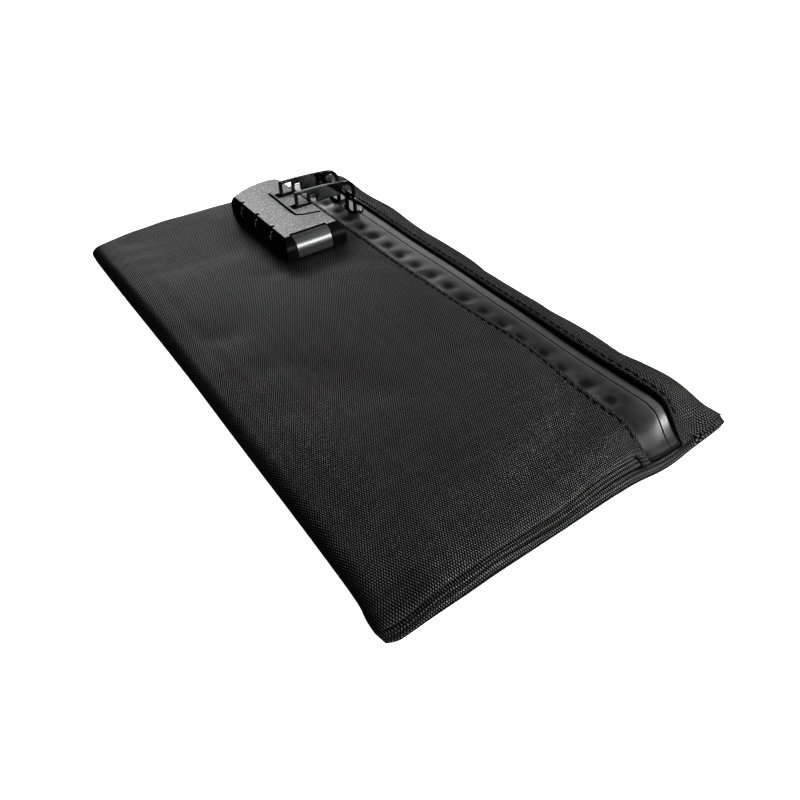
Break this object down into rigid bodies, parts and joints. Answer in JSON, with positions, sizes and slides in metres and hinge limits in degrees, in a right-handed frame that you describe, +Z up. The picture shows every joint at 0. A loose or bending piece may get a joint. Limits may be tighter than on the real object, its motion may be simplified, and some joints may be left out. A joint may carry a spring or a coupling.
{
  "type": "locking zip pouch",
  "caption": "Flat black woven pouch with a full-length coated zip and a dial combination lock that holds the zip pullers.",
  "frame": {"origin": "centre of the pouch's footprint, on the surface that it lies on", "axes": "+X along the length, away from the lock; +Y across, from the folded long edge to the zip; +Z up"},
  "size_m": [0.279, 0.152, 0.0323],
  "materials": {
    "cover_fabric": "plain-woven black nylon, slightly shiny yarns",
    "barrier_cloth": "grey woven glass cloth",
    "lining_foil": "silver coated cloth",
    "zip_tape": "smooth satin coated tape",
    "zip_coil": "black nylon coil",
    "dark_nickel": "polished black nickel",
    "lock_body": "black moulding, fine texture",
    "lock_plate": "stippled dark grey",
    "lock_button": "gloss black",
    "dial_black": "black dials",
    "steel": "plain steel",
    "brass": "turned brass"
  },
  "bodies": {
    "pouch": {"outer_cover": "cover_fabric", "fire_barrier": "barrier_cloth", "inner_lining": "lining_foil", "zip_tape_near": "zip_tape", "zip_tape_far": "zip_tape", "zip_coil_near": "zip_coil", "zip_coil_far": "zip_coil", "lock_housing": "lock_body", "lock_top_plate": "lock_plate", "lock_base_plate": "steel", "button_spring": "steel", "latch_spring": "steel", "dial_spindle": "steel", "detent_spring": "steel", "lock_screw_1": "steel", "lock_screw_2": "steel", "lock_screw_3": "steel", "lock_screw_4": "steel"},
    "slider_1": {"zip_slider_1": "dark_nickel"},
    "puller_1": {"zip_puller_1": "dark_nickel"},
    "slider_2": {"zip_slider_2": "dark_nickel"},
    "puller_2": {"zip_puller_2": "dark_nickel"},
    "dial_1": {"dial_1": "dial_black", "dial_sleeve_1": "brass"},
    "dial_2": {"dial_2": "dial_black", "dial_sleeve_2": "brass"},
    "dial_3": {"dial_3": "dial_black", "dial_sleeve_3": "brass"},
    "button": {"release_button": "lock_button"},
    "latch": {"latch_plate": "steel"}
  },
  "joints": [
    {"name": "slider_1_travel", "type": "slide", "parent": "pouch", "child": "slider_1", "axis": [-1, 0, 0], "range_m": [0, 0.016]},
    {"name": "slider_2_travel", "type": "slide", "parent": "pouch", "child": "slider_2", "axis": [1, 0, 0], "range_m": [0, 0.196]},
    {"name": "puller_1_swing", "type": "hinge", "parent": "slider_1", "child": "puller_1", "pos_m": [-0.0984, 0.0514, 0.0222], "axis": [-1, 0, 0], "range_deg": [-11.5, 150]},
    {"name": "puller_2_swing", "type": "hinge", "parent": "slider_2", "child": "puller_2", "pos_m": [-0.0812, 0.0514, 0.0222], "axis": [-1, 0, 0], "range_deg": [-11.5, 150]},
    {"name": "dial_1_turn", "type": "hinge", "parent": "pouch", "child": "dial_1", "pos_m": [-0.1045, 0.0009, 0.0184], "axis": [1, 0, 0], "continuous": true},
    {"name": "dial_2_turn", "type": "hinge", "parent": "pouch", "child": "dial_2", "pos_m": [-0.0873, 0.0009, 0.0184], "axis": [1, 0, 0], "continuous": true},
    {"name": "dial_3_turn", "type": "hinge", "parent": "pouch", "child": "dial_3", "pos_m": [-0.0701, 0.0009, 0.0184], "axis": [1, 0, 0], "continuous": true},
    {"name": "button_press", "type": "slide", "parent": "pouch", "child": "button", "axis": [-1, 0, 0], "range_m": [0, 0.0015], "stiffness_N_per_m": 400, "springref_m": -0.001, "deforming": ["button_spring"]},
    {"name": "latch_travel", "type": "slide", "parent": "pouch", "child": "latch", "axis": [1, 0, 0], "range_m": [0, 0.005], "deforming": ["latch_spring"]}
  ]
}
